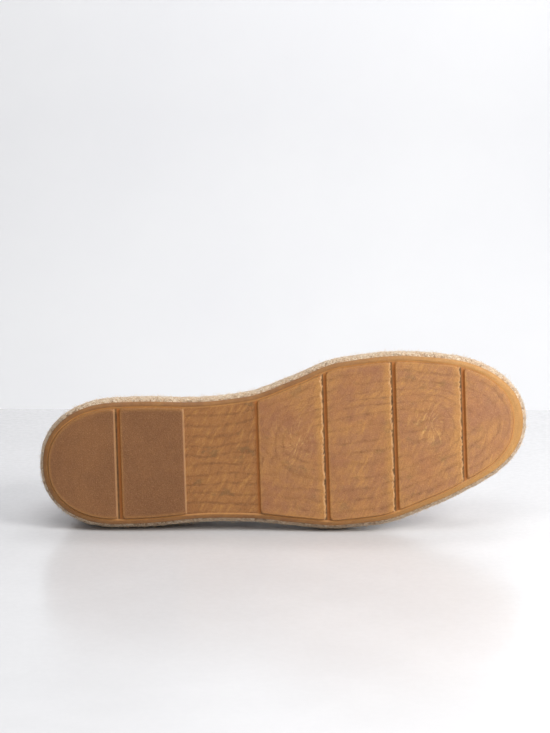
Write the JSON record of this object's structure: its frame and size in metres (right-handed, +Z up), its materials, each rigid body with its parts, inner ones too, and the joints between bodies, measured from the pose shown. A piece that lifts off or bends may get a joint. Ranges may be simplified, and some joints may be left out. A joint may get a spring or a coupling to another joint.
{
  "type": "espadrille",
  "caption": "Slip-on espadrille for the left foot with a suede upper on a plaited jute sole and a padded gum rubber tread, lying on its outer side.",
  "frame": {"origin": "On the ground, under the centre of the box round the shoe as it lies on its outer side", "axes": "+X towards the toe, +Y the way the top of the foot faces, +Z up, which is towards the inner side of the foot"},
  "size_m": [0.2974, 0.0946, 0.1076],
  "materials": {
    "gum_rubber": "satin, lightly worn",
    "jute": "matt, fibrous plait",
    "insole_leather": "matt",
    "suede": "matt, short nap",
    "counter_suede": "matt, short nap"
  },
  "bodies": {
    "root": {"outsole": "gum_rubber", "jute_midsole": "jute", "insole": "insole_leather", "upper": "suede", "heel_counter": "counter_suede"}
  },
  "joints": []
}
